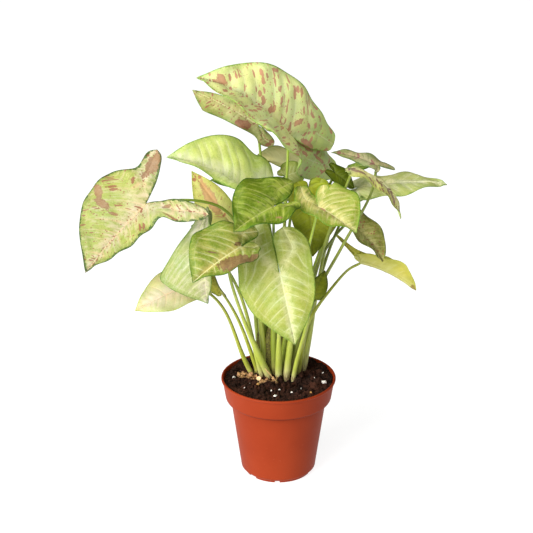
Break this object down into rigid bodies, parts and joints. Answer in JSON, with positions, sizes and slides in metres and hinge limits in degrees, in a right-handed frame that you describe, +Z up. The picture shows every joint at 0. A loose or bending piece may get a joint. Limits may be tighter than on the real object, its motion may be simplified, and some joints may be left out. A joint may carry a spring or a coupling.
{
  "type": "potted syngonium",
  "caption": "Arrowhead house plant with pink-flecked lime leaves on slender stalks, growing from dark soil in a round terracotta-coloured nursery pot.",
  "frame": {"origin": "middle of the flat foot of the pot, on the surface that it stands on", "axes": "+Z up along the pot's axis; -Y towards the front of the plant; +X to the right seen from the front"},
  "size_m": [0.3241, 0.2159, 0.3911],
  "materials": {
    "pot_plastic": "terracotta coloured polypropylene, satin, slightly translucent at the rim",
    "potting_soil": "rough, crumbly dark peat with white perlite",
    "cut_stem_flesh": "pale dry cut plant stem",
    "leaf_stalk": "smooth fleshy light green stalk, paler at its foot",
    "leaf_lime": "pale lime leaf, satin, with paler veins, pink flecks and a green margin",
    "leaf_green": "mid green leaf, satin, with a pale midrib and a darker rim",
    "leaf_olive": "olive green leaf, dull on its underside",
    "leaf_yellow": "yellowing leaf, satin, with tan pink patches",
    "leaf_cream": "cream leaf, thin, with a light pink midrib",
    "leaf_dark": "dark olive leaf in shade"
  },
  "bodies": {
    "root": {"pot": "pot_plastic", "soil": "potting_soil", "cut_stem": "cut_stem_flesh", "top_blade": "leaf_lime", "top_stalk": "leaf_stalk", "behind_top_blade": "leaf_lime", "behind_top_stalk": "leaf_stalk", "left_pale_blade": "leaf_lime", "left_pale_stalk": "leaf_stalk", "far_left_blade": "leaf_lime", "far_left_stalk": "leaf_stalk", "heart_blade": "leaf_green", "heart_stalk": "leaf_stalk", "right_lime_blade": "leaf_lime", "right_lime_stalk": "leaf_stalk", "front_blade": "leaf_lime", "front_stalk": "leaf_stalk", "left_brown_blade": "leaf_green", "left_brown_stalk": "leaf_stalk", "left_low_blade": "leaf_lime", "left_low_stalk": "leaf_stalk", "bottom_pale_blade": "leaf_cream", "bottom_pale_stalk": "leaf_stalk", "back_pink_blade": "leaf_yellow", "back_pink_stalk": "leaf_stalk", "long_right_blade": "leaf_lime", "long_right_stalk": "leaf_stalk", "droop_pink_blade": "leaf_lime", "droop_pink_stalk": "leaf_stalk", "up_right_blade": "leaf_lime", "up_right_stalk": "leaf_stalk", "right_mid_blade": "leaf_olive", "right_mid_stalk": "leaf_stalk", "yellow_blade": "leaf_yellow", "yellow_stalk": "leaf_stalk", "back_olive_blade": "leaf_olive", "back_olive_stalk": "leaf_stalk", "back_tip_blade": "leaf_olive", "back_tip_stalk": "leaf_stalk", "low_left_blade": "leaf_olive", "low_left_stalk": "leaf_stalk", "dark_right_blade": "leaf_dark", "dark_right_stalk": "leaf_stalk", "right_band_blade": "leaf_green", "right_band_stalk": "leaf_stalk", "middle_olive_blade": "leaf_olive", "middle_olive_stalk": "leaf_stalk", "small_dark_blade": "leaf_dark", "small_dark_stalk": "leaf_stalk", "curled_left_blade": "leaf_dark", "curled_left_stalk": "leaf_stalk", "rear_left_blade": "leaf_green", "rear_left_stalk": "leaf_stalk", "rear_blade": "leaf_green", "rear_stalk": "leaf_stalk", "rear_right_blade": "leaf_green", "rear_right_stalk": "leaf_stalk"}
  },
  "joints": []
}
